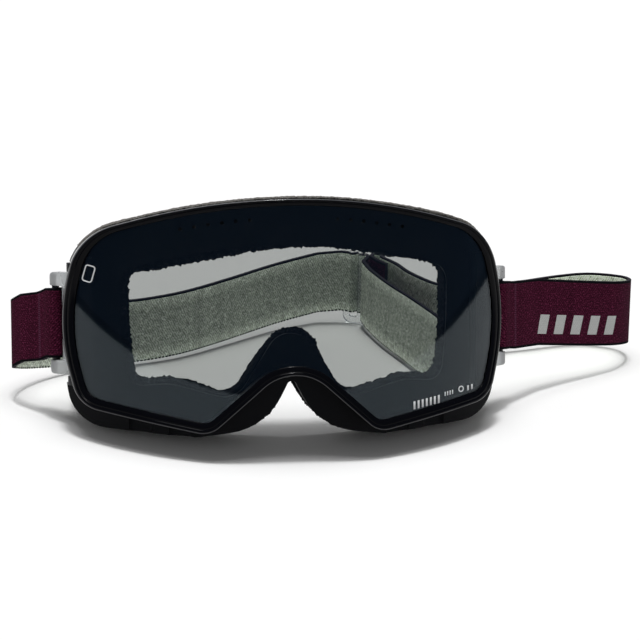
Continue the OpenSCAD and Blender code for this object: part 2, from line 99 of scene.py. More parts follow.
def onFront(x, z, depth=0.0):   # a point on the front curve, depth behind the rim's face
    r = standing["frontRadius"] - depth
    return Vector((x, standing["frontMiddle"] - math.sqrt(r * r - x * x), z))


# material helpers
def outputOf(source):
    return source.outputs[0] if isinstance(source, bpy.types.Node) else source


def newPaint(name, color, roughness, **plain):
    material = bpy.data.materials.new(name)
    material.use_nodes = True
    shader = material.node_tree.nodes["Principled BSDF"]
    shader.inputs["Base Color"].default_value = (*color, 1)
    shader.inputs["Roughness"].default_value = roughness
    for socket, value in plain.items():
        shader.inputs[socket.replace("_", " ")].default_value = value
    return material


def shaderOf(material):
    return material.node_tree.nodes["Principled BSDF"]


def addNode(tree, kind, links=(), **values):
    node = tree.nodes.new(kind)
    for key, value in values.items():
        if key in node.bl_rna.properties:
            setattr(node, key, value)
        else:
            node.inputs[key.replace("_", " ")].default_value = value
    for socket, source in dict(links).items():
        tree.links.new(outputOf(source), node.inputs[socket])
    return node


def mathNode(tree, operation, *inputs):
    node = addNode(tree, "ShaderNodeMath", operation=operation)
    for k, value in enumerate(inputs):
        if isinstance(value, (int, float)):
            node.inputs[k].default_value = value
        else:
            tree.links.new(outputOf(value), node.inputs[k])
    return node


def rangeNode(tree, source, start, end, low=0.0, high=1.0, **plain):
    node = addNode(tree, "ShaderNodeMapRange", {"Value": source}, **plain)
    for socket, value in (("From Min", start), ("From Max", end), ("To Min", low), ("To Max", high)):
        node.inputs[socket].default_value = value
    return node


# one colour laid over another by a mask; each colour is a tuple or a socket
def mixColors(tree, mask, under, upper):
    node = addNode(tree, "ShaderNodeMix", {"Factor": mask}, data_type="RGBA")
    for k, color in ((6, under), (7, upper)):
        if isinstance(color, tuple):
            node.inputs[k].default_value = (*color, 1)
        else:
            tree.links.new(color, node.inputs[k])
    return node.outputs[2]


def scaleColor(tree, color, gain):
    node = addNode(tree, "ShaderNodeVectorMath", {0: color, "Scale": gain}, operation="SCALE")
    return node.outputs[0]


def feed(material, **sources):
    for socket, source in sources.items():
        place = shaderOf(material).inputs[socket.replace("_", " ")]
        material.node_tree.links.new(outputOf(source), place)


# small dents from a height, given to the material's normal
def dentBy(material, height, strength, distance):
    dent = addNode(material.node_tree, "ShaderNodeBump", {"Height": height}, Strength=strength,
                   Distance=distance)
    feed(material, Normal=dent)


def newGroup(name, inputs, outputs):
    tree = bpy.data.node_groups.new(name, "ShaderNodeTree")
    for socket, kind, value in inputs:
        made = tree.interface.new_socket(socket, in_out="INPUT", socket_type=kind)
        if value is not None:
            made.default_value = value
    for socket, kind in outputs:
        tree.interface.new_socket(socket, in_out="OUTPUT", socket_type=kind)
    return tree, tree.nodes.new("NodeGroupInput").outputs


def closeGroup(tree, **sources):
    out = tree.nodes.new("NodeGroupOutput")
    for socket, source in sources.items():
        tree.links.new(outputOf(source), out.inputs[socket])


def placeGroup(material, group, **values):
    node = material.node_tree.nodes.new("ShaderNodeGroup")
    node.node_tree = group
    for key, value in values.items():
        node.inputs[key].default_value = (*value, 1) if isinstance(value, tuple) else value
    return node.outputs


# moulded grain: fine pits with slow patches of wear, on object coordinates
grainSet = {"patchScale": 60.0, "darkest": 0.85, "roughSpread": 0.16, "dent": 0.0002}
grain, given = newGroup(
    "mouldedGrain",
    [("Color", "NodeSocketColor", None), ("Lift", "NodeSocketFloat", 0.3),
     ("Pits", "NodeSocketFloat", 2500.0), ("Roughness", "NodeSocketFloat", 0.5)],
    [("Color", "NodeSocketColor"), ("Roughness", "NodeSocketFloat"), ("Height", "NodeSocketFloat")])
place = addNode(grain, "ShaderNodeTexCoord").outputs["Object"]
pits = addNode(grain, "ShaderNodeTexNoise", {"Vector": place, "Scale": given["Pits"]}, Detail=3)
patches = addNode(grain, "ShaderNodeTexNoise", {"Vector": place}, Scale=grainSet["patchScale"], Detail=4)
lifted = mathNode(grain, "MULTIPLY", patches.outputs["Fac"], given["Lift"])
lifted = mathNode(grain, "ADD", lifted, grainSet["darkest"])
rough = mathNode(grain, "MULTIPLY_ADD", patches.outputs["Fac"], grainSet["roughSpread"],
                 given["Roughness"])
rough = mathNode(grain, "SUBTRACT", rough, grainSet["roughSpread"] / 2)
worn = scaleColor(grain, given["Color"], lifted)
closeGroup(grain, Color=worn, Roughness=rough, Height=pits.outputs["Fac"])


def mouldedPaint(name, color, roughness, bump=0.1, pits=2500.0, lift=0.3, **plain):
    material = newPaint(name, color, roughness, **plain)
    made = placeGroup(material, grain, Color=color, Lift=lift, Pits=pits, Roughness=roughness)
    feed(material, Base_Color=made["Color"], Roughness=made["Roughness"])
    dentBy(material, made["Height"], bump, grainSet["dent"])
    return material


# open-cell foam: pores with pale rims and dark middles
cellSet = {"wall": 0.35, "fuzzScale": 900.0, "paleness": 1.8, "dent": 0.0005}
foamCells, given = newGroup(
    "foamCells",
    [("Dark", "NodeSocketColor", None), ("Pale", "NodeSocketColor", None),
     ("Cells", "NodeSocketFloat", 1500.0)],
    [("Color", "NodeSocketColor"), ("Height", "NodeSocketFloat")])
place = addNode(foamCells, "ShaderNodeTexCoord").outputs["Object"]
pore = addNode(foamCells, "ShaderNodeTexVoronoi", {"Vector": place, "Scale": given["Cells"]},
               feature="DISTANCE_TO_EDGE")
wall = rangeNode(foamCells, pore.outputs["Distance"], 0.0, cellSet["wall"], 1.0, 0.0)
fuzz = addNode(foamCells, "ShaderNodeTexNoise", {"Vector": place}, Scale=cellSet["fuzzScale"], Detail=4)
share = mathNode(foamCells, "MULTIPLY", wall, fuzz.outputs["Fac"])
share = mathNode(foamCells, "MULTIPLY", share, cellSet["paleness"])
share.use_clamp = True
celled = mixColors(foamCells, share, given["Dark"], given["Pale"])
closeGroup(foamCells, Color=celled, Height=share)


def foamPaint(name, dark, pale, cells, bump=0.8):
    material = newPaint(name, dark, 0.95, Specular_IOR_Level=0.15)
    made = placeGroup(material, foamCells, Dark=dark, Pale=pale, Cells=cells)
    feed(material, Base_Color=made["Color"])
    dentBy(material, made["Height"], bump, cellSet["dent"])
    return material


# rays from lamps pass the clear plastic, tinted, so that what is behind it is lit
def letLampsThrough(material, tint):
    tree = material.node_tree
    path = addNode(tree, "ShaderNodeLightPath")
    clear = addNode(tree, "ShaderNodeBsdfTransparent", Color=(*tint, 1))
    mixed = addNode(tree, "ShaderNodeMixShader", {0: path.outputs["Is Shadow Ray"]})
    tree.links.new(shaderOf(material).outputs[0], mixed.inputs[1])
    tree.links.new(clear.outputs[0], mixed.inputs[2])
    tree.links.new(mixed.outputs[0], tree.nodes["Material Output"].inputs["Surface"])


def dress(name, material):
    mesh = nodes[name].data
    mesh.materials.clear()
    mesh.materials.append(material)


# makes the object from a bmesh in place, in metres, and puts it on its body
def finishPiece(mesh, name, body, slot, material, *replaced, smooth=True):
    data = bpy.data.meshes.new(name)
    bmesh.ops.scale(mesh, vec=(metre, metre, metre), verts=mesh.verts)
    mesh.to_mesh(data)
    mesh.free()
    made = bpy.data.objects.new(name, data)
    bpy.context.scene.collection.objects.link(made)
    for item in material if isinstance(material, (list, tuple)) else [material]:
        data.materials.append(item)
    for face in data.polygons:
        face.use_smooth = smooth
    if body:
        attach(made, body)
    if replaced:
        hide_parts(*replaced)
    return made


print("helpers ready")

# the rim: half of its outline, repeated from the CAD, as (x, z, radius) from the top clockwise
rim = {
    "outline": [(0, 55.1, 236), (83.5, 31.8, 25), (92.8, -4, 80), (84.2, -37, 12),
                (33.5, -46.9, 10), (0, -17.1, 18.3)],
    "widths": (2.6, 4.7, 4.7, 4.4, 3.8),
    "arcSteps": (30, 16, 16, 12, 12, 12),
    "edgeSteps": 9,
    "sharpest": 0.6,               # the least radius of an inset corner
    "skirtDepth": 6.5,
    "skirtEdge": 0.2,
    "skirt": 1.2,
    "lip": 1.5,
    "lipDepths": (1.2, 4.0),
    # over the face: share of the way to the inner outline, depth behind the face
    "face": [(0, 3.4), (0, 1.0), (0.004, 0.62), (0.03, 0.3), (0.07, 0.1), (0.12, 0.02), (0.2, 0.0),
             (0.3, 0.02), (0.35, 0.1), (0.375, 0.26), (0.4, 0.34), (0.44, 0.34), (0.47, 0.26),
             (0.52, 0.24), (0.75, 0.5), (0.93, 0.78), (0.975, 0.88), (1, 1.02), (1, 1.2)],
    "line": (6, 7),                # the profile's steps given the paler paint: a painted highlight line
    "pocket": (80.0, 7.127, -30.2, 20.2),   # where the skirt stops for the hinges: x, y, low, high
}


def wholeOutline(half):
    return half + [(-x, z, r) for x, z, r in half[-2:0:-1]]


def insetCorners(corners, distances):
    n = len(corners)
    flat = [Vector((x, z)) for x, z, r in corners]
    along = [(flat[(i + 1) % n] - flat[i]).normalized() for i in range(n)]
    start = [flat[i] + Vector((along[i].y, -along[i].x)) * distances[i] for i in range(n)]
    result = []
    for i in range(n):
        j = (i - 1) % n
        cross = along[j].cross(along[i])
        p = start[j] + along[j] * ((start[i] - start[j]).cross(along[i]) / cross)
        grow = -1 if cross < 0 else 1
        radius = max(rim["sharpest"], corners[i][2] + grow * (distances[i] + distances[j]) / 2)
        result.append((p.x, p.y, radius))
    return result


# points along the outline, as many for every inset of it
def roundedLoop(corners, arcSteps, edgeSteps):
    n = len(corners)
    arcs = []
    for i in range(n):
        b = Vector(corners[i][:2])
        u = (Vector(corners[i - 1][:2]) - b).normalized()
        w = (Vector(corners[(i + 1) % n][:2]) - b).normalized()
        half = u.angle(w) / 2
        radius = corners[i][2]
        centre = b + (u + w).normalized() * radius / math.sin(half)
        start = b + u * radius / math.tan(half) - centre
        sweep = (math.pi - 2 * half) * (-1 if u.cross(w) > 0 else 1)
        steps = arcSteps[i]
        arcs.append([centre + Matrix.Rotation(sweep * k / steps, 2) @ start for k in range(steps + 1)])
    loop = []
    for i in range(n):
        loop += arcs[i]
        a, b = arcs[i][-1], arcs[(i + 1) % n][0]
        loop += [a.lerp(b, k / edgeSteps) for k in range(1, edgeSteps)]
    return loop


def bothSides(half):
    return list(half) + list(half)[::-1]


rimCorners = wholeOutline(rim["outline"])
rimArcs = list(rim["arcSteps"]) + list(rim["arcSteps"])[-2:0:-1]
outerLoop = roundedLoop(rimCorners, rimArcs, rim["edgeSteps"])
innerLoop = roundedLoop(insetCorners(rimCorners, bothSides(rim["widths"])), rimArcs, rim["edgeSteps"])
skirtCorners = insetCorners(rimCorners, [rim["skirt"]] * len(rimCorners))
skirtLoop = roundedLoop(skirtCorners, rimArcs, rim["edgeSteps"])
lipCorners = insetCorners(rimCorners, [rim["lip"]] * len(rimCorners))
lipLoop = roundedLoop(lipCorners, rimArcs, rim["edgeSteps"])


# the profile runs from the skirt's edge over the face and back behind the lip:
# (loop it starts from, share of the way to the inner loop, depth behind the face)
def rimProfile():
    deep = rim["skirtDepth"]
    near, far = rim["lipDepths"]
    outer = [("outer", 0, deep), ("outer", 0, deep - rim["skirtEdge"])]
    outer += [("outer", share, depth) for share, depth in rim["face"]]
    return outer + [("lip", 0, near), ("lip", 0, far), ("skirt", 0, far), ("skirt", 0, deep)]


def rimPoint(step, k):
    loop, share, depth = step
    start = {"outer": outerLoop, "lip": lipLoop, "skirt": skirtLoop}[loop][k]
    p = start.lerp(innerLoop[k], share) if share else start
    q = onFront(p.x, p.y, depth)
    x, y, low, high = rim["pocket"]
    if abs(q.x) > x and low < q.z < high:
        q.y = min(q.y, y)
    return standUp(q)


def makeRim():
    mesh = bmesh.new()
    profile = rimProfile()
    count = len(outerLoop)
    ring = [mesh.verts.new(rimPoint(profile[0], k)) for k in range(count)]
    edges = [mesh.edges.new((ring[k], ring[(k + 1) % count])) for k in range(count)]
    firstEdges = edges
    for number, step in enumerate(profile[1:], 1):
        grown = bmesh.ops.extrude_edge_only(mesh, edges=edges)["geom"]
        for g in grown:
            if isinstance(g, bmesh.types.BMFace):
                # the listed steps take the second, paler paint: a painted highlight line
                g.material_index = 1 if number in rim["line"] else 0
        new = [g for g in grown if isinstance(g, bmesh.types.BMVert)]
        # an extruded vertex is joined to the one it came from
        came = {}
        fresh = set(new)
        for v in new:
            for e in v.link_edges:
                other = e.other_vert(v)
                if other not in fresh:
                    came[other] = v
        ring = [came[v] for v in ring]
        for k, v in enumerate(ring):
            v.co = rimPoint(step, k)
        edges = [e for e in grown if isinstance(e, bmesh.types.BMEdge)]
        edges = [e for e in edges if e.verts[0] in fresh and e.verts[1] in fresh]
    bmesh.ops.bridge_loops(mesh, edges=edges + firstEdges)
    bmesh.ops.recalc_face_normals(mesh, faces=mesh.faces)
    return mesh


# a paler paint on the rim's outer rounding: a painted highlight line
rimPaintedHighlight = mouldedPaint("rimPaintedHighlight", (0.028, 0.028, 0.031), 0.14, bump=0.01, lift=0.9, pits=700)
rimPaint = mouldedPaint("rimGloss", (0.0025, 0.0025, 0.0035), 0.12, bump=0.015, pits=700, lift=0.5,
                        Specular_IOR_Level=0.08)
finishPiece(makeRim(), "lensRim", "goggles", "rim_gloss", [rimPaint, rimPaintedHighlight], "lens_rim")
print("rim done")

# rigid CAD nodes that keep their shape
lensSet = {
    "middle": 48.65,         # height that the dome is centred on
    "tallRadius": 280.0,     # the dome's slight curve from top to bottom
    "tint": (0.528, 0.552, 0.54),
    "shadowTint": (0.66, 0.675, 0.675),
    "mirror": (0.7, 0.86, 1.0, 1),
}
lensPaint = newPaint("tintedLens", lensSet["tint"], 0.0, Transmission_Weight=1.0, IOR=1.45,
                     Specular_Tint=lensSet["mirror"])
letLampsThrough(lensPaint, lensSet["shadowTint"])
tree = lensPaint.node_tree
place = addNode(tree, "ShaderNodeSeparateXYZ", {0: addNode(tree, "ShaderNodeTexCoord").outputs["Object"]})
high = mathNode(tree, "SUBTRACT", place.outputs[2], lensSet["middle"] * metre)
dome = mathNode(tree, "MULTIPLY", mathNode(tree, "MULTIPLY", high, high),
                -0.5 / (lensSet["tallRadius"] * metre))
turnedTo = addNode(tree, "ShaderNodeNewGeometry").outputs["True Normal"]
facing = addNode(tree, "ShaderNodeSeparateXYZ", {0: turnedTo})
frontward = mathNode(tree, "SIGN", mathNode(tree, "MULTIPLY", facing.outputs[1], -1.0))
dentBy(lensPaint, mathNode(tree, "MULTIPLY", dome, frontward), 1.0, 1.0)
dress("lens", lensPaint)
dress("frame", mouldedPaint("softFrame", (0.0045, 0.0045, 0.0055), 0.5, bump=0.25, pits=3200,
                            Specular_IOR_Level=0.12))
dress("lens_seal", mouldedPaint("lensSeal", (0.004, 0.004, 0.005), 0.7, bump=0.2,
                                Specular_IOR_Level=0.2))
bracketPaint = mouldedPaint("hingeBracket", (0.006, 0.006, 0.007), 0.4, bump=0.12)
pinPaint = mouldedPaint("hingePin", (0.5, 0.5, 0.52), 0.28, bump=0.03, Metallic=1.0)
rodPaint = mouldedPaint("strapRod", (0.006, 0.006, 0.007), 0.35, bump=0.05)
smokePaint = mouldedPaint("smokeOutrigger", (0.86, 0.88, 0.89), 0.28, bump=0.04, lift=0.1,
                          Transmission_Weight=0.55, IOR=1.46)
clearPaint = newPaint("clearSlider", (0.9, 0.92, 0.915), 0.05, Transmission_Weight=1.0, IOR=1.46)
letLampsThrough(clearPaint, (0.85, 0.87, 0.87))


# widths of the eased edges by slot, and merging, in millimetres; turn and flat in degrees
easeSet = {"bracket": 0.3, "pin": 0.25, "rod": 0.3, "slider": 0.35,
           "turn": 32.0, "flat": 0.8, "merge": 0.002}


# a rigid CAD part again, with its sharp edges eased as a mould leaves them
def easeEdges(name, made, body, slot, material):
    mesh = bmesh.new()
    mesh.from_mesh(nodes[name].data)
    bmesh.ops.remove_doubles(mesh, verts=mesh.verts, dist=easeSet["merge"] * metre)
    bmesh.ops.dissolve_limit(mesh, angle_limit=math.radians(easeSet["flat"]), verts=mesh.verts,
                             edges=mesh.edges)
    data = bpy.data.meshes.new(made)
    mesh.to_mesh(data)
    mesh.free()
    data.materials.append(material)
    for face in data.polygons:
        face.use_smooth = True
    piece = bpy.data.objects.new(made, data)
    bpy.context.scene.collection.objects.link(piece)
    ease = piece.modifiers.new("easedEdges", "BEVEL")
    ease.width = easeSet[slot] * metre
    ease.segments = 2
    ease.limit_method = "ANGLE"
    ease.angle_limit = math.radians(easeSet["turn"])
    ease.harden_normals = True
    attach(piece, body)
    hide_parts(name)


for side in ("left", "right"):
    tail = side.title()
    easeEdges("hinge_bracket_" + side, "hingeBracket" + tail, "goggles", "bracket", bracketPaint)
    easeEdges("hinge_pin_" + side, "hingePin" + tail, "goggles", "pin", pinPaint)
    easeEdges("strap_rod_" + side, "strapRod" + tail, "outrigger_" + side, "rod", rodPaint)
easeEdges("strap_slider", "strapSlider", "slider", "slider", clearPaint)
print("rigid parts dressed")

# plain printing on the lens: a small frame, and a row of strokes with a ring
printSet = {
    "depth": 1.23,
    "thick": 0.03,
    "line": 0.5,
    "frame": (-79.4, 16.3, 4.2, 7.0, -16.0),   # middle x and z, width, height, turn
    "frameRound": 1.2,
    # first stroke's x and z, how many, pitch, width, height
    "row": [(48.9, -37.1, 7, 1.82, 0.85, 3.2), (62.6, -33.6, 4, 1.15, 0.5, 1.7),
            (73.3, -32.1, 2, 1.9, 0.8, 2.0)],
    "ring": (70.0, -32.2, 2.6, 1.25),          # x, z, size, radius
    "rise": 9.0,                               # slant of the row, degrees
}


def printPoint(x, z):
    return standUp(onFront(x, z, printSet["depth"]))


def printRing(mesh, x, z, width, height, turn, radius):
    loops = []
    for inset in (0, printSet["line"]):
        w, h, r = width / 2 - inset, height / 2 - inset, radius - inset
        corners = [(-w, h, r), (w, h, r), (w, -h, r), (-w, -h, r)]
        tilt = Matrix.Rotation(math.radians(turn), 2)
        points = [tilt @ q for q in roundedLoop(corners, [4] * 4, 3)]
        ring = [mesh.verts.new(printPoint(x + q.x, z + q.y)) for q in points]
        loops += [mesh.edges.new((ring[k], ring[(k + 1) % len(ring)])) for k in range(len(ring))]
    bmesh.ops.bridge_loops(mesh, edges=loops)


def printStroke(mesh, x, z, width, height):
    bar = bmesh.ops.create_grid(mesh, x_segments=1, y_segments=2, size=0.5)
    for v in bar["verts"]:
        across = v.co.x * width
        v.co = printPoint(x + across, z + v.co.y * height + across * math.sin(rise))


rise = math.radians(printSet["rise"])
lensPrint = bmesh.new()
printRing(lensPrint, *printSet["frame"], printSet["frameRound"])
x, z, size, radius = printSet["ring"]
printRing(lensPrint, x, z, size, size, 0, radius)
for x, z, number, pitch, width, height in printSet["row"]:
    for k in range(number):
        away = k * pitch
        printStroke(lensPrint, x + away * math.cos(rise), z + away * math.sin(rise), width, height)
bmesh.ops.recalc_face_normals(lensPrint, faces=lensPrint.faces)
for f in lensPrint.faces:
    if f.normal.y > 0:
        f.normal_flip()
bmesh.ops.solidify(lensPrint, geom=lensPrint.faces[:], thickness=-printSet["thick"])
bmesh.ops.recalc_face_normals(lensPrint, faces=lensPrint.faces)
printPaint = mouldedPaint("lensPrinting", (0.7, 0.71, 0.72), 0.6, bump=0.05, lift=0.4)
finishPiece(lensPrint, "lensPrint", "goggles", "lens_tint", printPaint)
print("lens print done")


# foam: each layer is remeshed from its CAD solid and roughened as cut foam
foam = {
    "margin": (7.0, 14.0),       # the cut eye hole starts this far inside the rim's outline
    "eyeShift": (1.5, -0.012),   # it sits a little to one side: millimetres, and per millimetre of x
    # how far its upper edge is moved down, by x, and the heights between which this sets in
    "eyeDrop": [(-90, 1.6), (-29, 1.6), (2, -0.8), (20, -0.8), (43, -0.2), (57, -1.4), (90, -1.4)],
    "dropFrom": (6.0, 16.0),
    "eyeCorner": (-61.0, 17.5, 3.6, -1.6, 2.1),   # x, z, reach, and how far the corner is pulled out
    "ragged": 1.1,
    "teeth": (0.95, 3.2, 0.6),   # sizes of the small and the large teeth, and the large ones' share
    "grain": (1.7, 0.7),         # sizes of the coarse and the fine roughness
    "shrink": 0.25,
    "merge": 0.01,
    "softening": 0.4,
    # how much of the brow strip's thickness stays, by x
    "browThin": [(-90, 0.02), (-80, 0.1), (-70, 0.45), (-60, 0.3), (-20, 0.3), (10, 0.55),
                 (45, 0.85), (62, 1.2), (76, 1.1), (90, 0.5)],
}
outlineDense = []
for a, b in zip(outerLoop, outerLoop[1:] + outerLoop[:1]):
    outlineDense += [a.lerp(b, k / 4) for k in range(4)]
outlineTree = kdtree.KDTree(len(outlineDense))
for k, q in enumerate(outlineDense):
    outlineTree.insert((q.x, q.y, 0), k)
outlineTree.balance()


# the eye hole as it is cut: moved from the CAD's even outline, and how near its edge a point is
def cutEyes(p):
    q = layDown(p)
    inside = outlineTree.find((q.x, q.z, 0))[2]
    low, high = foam["margin"]
    share = eased((inside - low) / (high - low))
    q.x += share * (foam["eyeShift"][0] + foam["eyeShift"][1] * q.x)
    start, end = foam["dropFrom"]
    q.z -= share * between(foam["eyeDrop"], q.x) * eased((q.z - start) / (end - start))
    x, z, reach, pullX, pullZ = foam["eyeCorner"]
    near = share * math.exp(-((q.x - x) ** 2 + (q.z - z) ** 2) / (2 * reach * reach))
    q.x += near * pullX
    q.z += near * pullZ
    return standUp(q), share


# the brow strip: thinner towards its left, so that less of it shows
def thinBrow(p):
    q = layDown(p)
    near = outlineTree.find((q.x, q.z, 0))[0]
    share = between(foam["browThin"], q.x)
    q.x = near.x + (q.x - near.x) * share
    q.z = near.y + (q.z - near.y) * share
    return standUp(q), 0.0


# the outrigger's ears: their outer ends are rounded off. Reach is from the hinge towards the rod,
# and the ears lie between the inner and the outer height above or below it
ears = {"toRod": (0.66, 0.75), "reach": 14.4, "round": 4.2, "inner": 15.2, "outer": 20.9}


def roundEars(p):
    q = layDown(p)
    x, y, z = standing["hinge"]
    away = (abs(q.x) - x) * ears["toRod"][0] + (q.y - y) * ears["toRod"][1]
    over = min(1.0, max(0.0, (away - ears["reach"]) / ears["round"] + 1))
    high = q.z - z
    share = eased((abs(high) - ears["inner"]) / (ears["outer"] - ears["inner"]))
    q.z -= math.copysign(ears["round"] * (1 - math.sqrt(1 - over * over)) * share, high)
    return standUp(q), 0.0


# a CAD solid again, in small even cells, softened, cut and roughened
def recast(name, made, body, material, voxel, rough, fine, cut=None, soften=1):
    source = nodes[name].data.copy()
    mesh = bmesh.new()
    mesh.from_mesh(source)
    bmesh.ops.remove_doubles(mesh, verts=mesh.verts, dist=foam["merge"] * metre)
    mesh.to_mesh(source)
    mesh.free()
    piece = bpy.data.objects.new(made, source)
    bpy.context.scene.collection.objects.link(piece)
    remesh = piece.modifiers.new("cells", "REMESH")
    remesh.mode = "VOXEL"
    remesh.voxel_size = voxel * metre
    graph = bpy.context.evaluated_depsgraph_get()
    final = bpy.data.meshes.new_from_object(piece.evaluated_get(graph))
    piece.modifiers.clear()
    piece.data = final
    lowest = min(v.co.z for v in final.vertices)
    mesh = bmesh.new()
    mesh.from_mesh(final)
    for _ in range(soften):
        bmesh.ops.smooth_vert(mesh, verts=mesh.verts, factor=foam["softening"], use_axis_x=True,
                              use_axis_y=True, use_axis_z=True)
    mesh.normal_update()
    moved = []
    for v in mesh.verts:
        p = v.co / metre
        at, share = cut(p) if cut else (p, 0.0)
        coarse, small = foam["grain"]
        jag = noise.noise(p / coarse) * rough + noise.noise(p / small) * fine - foam["shrink"] * rough
        if share:
            tooth, wide, much = foam["teeth"]
            jag += share * foam["ragged"] * (noise.noise(p / tooth) + much * noise.noise(p / wide))
        moved.append((at + v.normal * jag) * metre)
    for v, co in zip(mesh.verts, moved):
        v.co = (co.x, co.y, max(co.z, max(lowest, 0)))
    mesh.to_mesh(final)
    mesh.free()
    final.materials.clear()
    final.materials.append(material)
    for face in final.polygons:
        face.use_smooth = True
    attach(piece, body)
    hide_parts(name)


blackFoam = foamPaint("faceFoam", (0.0015, 0.0015, 0.0025), (0.013, 0.0135, 0.017), cells=1100, bump=0.5)
greyFoam = foamPaint("browFoam", (0.035, 0.033, 0.03), (0.31, 0.295, 0.275), cells=1300)
fleecePaint = foamPaint("faceFleece", (0.004, 0.004, 0.005), (0.014, 0.014, 0.017), cells=3500, bump=0.4)
# CAD node, piece, slot, paint, size of the small cells, coarse and fine roughness in millimetres, cut
foamLayers = [
    ("face_foam_base", "faceFoamBase", "foam", blackFoam, 0.75, 0.4, 0.25, cutEyes),
    ("face_foam_middle", "faceFoamMiddle", "foam", blackFoam, 0.75, 0.4, 0.25, cutEyes),
    ("face_fleece", "faceFleece", "fleece", fleecePaint, 0.75, 0.4, 0.3, cutEyes),
    ("vent_foam_top", "ventFoamTop", "mesh_foam", greyFoam, 0.4, 0.25, 0.3, thinBrow),
    ("vent_foam_left", "ventFoamLeft", "mesh_foam", blackFoam, 0.5, 0.2, 0.1, None),
    ("vent_foam_right", "ventFoamRight", "mesh_foam", blackFoam, 0.5, 0.2, 0.1, None),
]
for name, made, slot, paint, voxel, rough, fine, cut in foamLayers:
    recast(name, made, "goggles", paint, voxel, rough, fine, cut=cut)
print("foam done")

for side in ("left", "right"):
    recast("outrigger_" + side, "outrigger" + side.title(), "outrigger_" + side, smokePaint,
           voxel=0.35, rough=0, fine=0, cut=roundEars, soften=5)
print("outriggers done")

# strap: its route is repeated from the CAD, with finer steps and a shorter sewn end at the slider
strap = {
    "width": 28.8,
    "thick": 1.6,
    "rod": 1.5,
    "clear": 0.3,
    "sewn": 9.0,       # how far the sewn end reaches from the rod
    "layerGap": 0.12,
    # the two layers of the sewn end: shares of its reach, and how far apart they are there
    "layers": [(1.0, 1.0), (0.74, 1.0), (0.52, 1.35), (0.3, 2.3)],
    "wrapSteps": range(90, 271, 15),   # round the rod, degrees
    "ear": 2.4,        # past the outrigger's ear the strap begins to drop
    "drop": {"left": 2, "right": 0.6},
    "exit": 45.0,      # the direction in which it leaves the rod, degrees
    "runSteps": 8,     # between two points of the route
    "tailSteps": 6,
    "cut": {"left": 150.0, "right": 190.0},   # where the end part meets the rear part
    "step": 0.9,
    "across": 24,
    "rounded": 0.15,   # how far the cloth ends inside each edge
    "rodPlace": (92.3, 19.027, -5.0),
}
slider = {
    "at": Vector((49.5, 125.3)),
    "turn": math.radians(-25),
    "low": 0.1,
    "rail": 3.0,
    "thick": 2.4,
    "bar": 2.8,
    "slots": (4.0, 4.6),
    "barSteps": 8,
    "margin": 1,               # how far outside the plate the strap's way through it begins or ends
    "leave": 6,                # how far in front of the plate's middle the left strap's way ends
    # heights of the strap's lower edge above the low rail, from and to
    "leftRise": (2.9, 0.5),
    "rightRise": (2.6, 2.2),
    "sewnRise": 1.6,
}
leftNear = [(-13.7, 12.2, -6.2, 0.21), (-17.6, 19.5, -11.2, 0.18), (-13.6, 31.5, -16.2, 0.14),
            (-1.4, 43.8, -20.2, 0.1), (14, 51.2, -22.4, 0.07)]
leftRear = [(-60, 73, 1.5, 0), (-44, 78.5, 1.8, 0), (-31, 86, 2.1, 0), (-14, 99, 2.6, 0),
            (9, 117, 3.6, 0), (29, 127.4, 5.2, 0)]
leftTail = [(50.4, 110, 2.4, 0.02), (54.6, 90, 2, 0.07), (61, 68, 1.6, 0.12), (67, 46, 1.2, 0.15),
            (70.8, 32, 1, 0.15)]
rightNear = [(20, 17.5, -4.8, 0.21), (33.5, 25.5, -8, 0.17), (48.5, 33.5, -11.2, 0.14),
             (61.3, 41.5, -14, 0.1), (69, 53, -16.8, 0.07), (67.8, 65, -18.6, 0.04),
             (55.4, 72.2, -19.4, 0.04), (41.5, 71.5, -20, 0.04), (20.5, 65.6, -20.8, 0.04)]
rightRear = [(95, 80.5, 3, 0), (79, 85, 2.8, 0), (68.6, 100, 3.3, 0), (63, 111, 4.8, 0)]
rightSewn = [(55.2, 117), (56.8, 113.8), (58.5, 110.7)]
halfWidth = strap["width"] / 2
strapMiddle = slider["low"] + slider["rail"] + halfWidth
bendRadius = strap["clear"] + strap["thick"] / 2


def floorFrame(p):   # from the CAD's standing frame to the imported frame
    return Vector(p) - floorMiddle


def turned(p, angle):
    return Matrix.Rotation(angle, 2) @ Vector(p)


def endLoop(side, dip):
    wrap = strap["rod"] + strap["clear"] + strap["thick"] / 2
    layer = strap["thick"] / 2 + strap["layerGap"]
    s = strap["sewn"]
    arm = [(s * reach, layer * apart) for reach, apart in strap["layers"]]
    way = arm + [(wrap * math.cos(math.radians(a)), wrap * math.sin(math.radians(a)))
                 for a in strap["wrapSteps"]]
    way += [(x, -y) for x, y in arm[::-1]]
    route = []
    for p in way:
        q = turned(p, math.radians(strap["exit"]))
        x, y, z = strap["rodPlace"]
        at = standUp((side * (x + q.x), y + q.y, z)) + floorMiddle
        drop = dip * max(0, p[0] - strap["ear"]) / (s - strap["ear"])
        route.append((at.x, at.y, at.z - drop, 0, math.tan(leanAngle)))
    return route


rodAt = standUp(strap["rodPlace"]) + floorMiddle


def nearRun(side, points):
    return [(side * rodAt.x + p[0], rodAt.y + p[1], rodAt.z + p[2], 0, p[3]) for p in points]


def rearRun(points):
    return [(p[0] + halfWidth * p[3], p[1], p[2] + halfWidth, p[3], 0) for p in points]


def aroundBar(u, v, start, end):
    steps = slider["barSteps"]
    angles = [math.radians(start + (end - start) * k / steps) for k in range(steps + 1)]
    return [(u + bendRadius * math.cos(a), v + bendRadius * math.sin(a)) for a in angles]


def weaveRun(points, start, end):
    route = []
    for k, p in enumerate(points):
        q = slider["at"] + turned(p, slider["turn"])
        route.append((q.x, q.y, strapMiddle + start + (end - start) * k / (len(points) - 1), 0, 0))
    return route


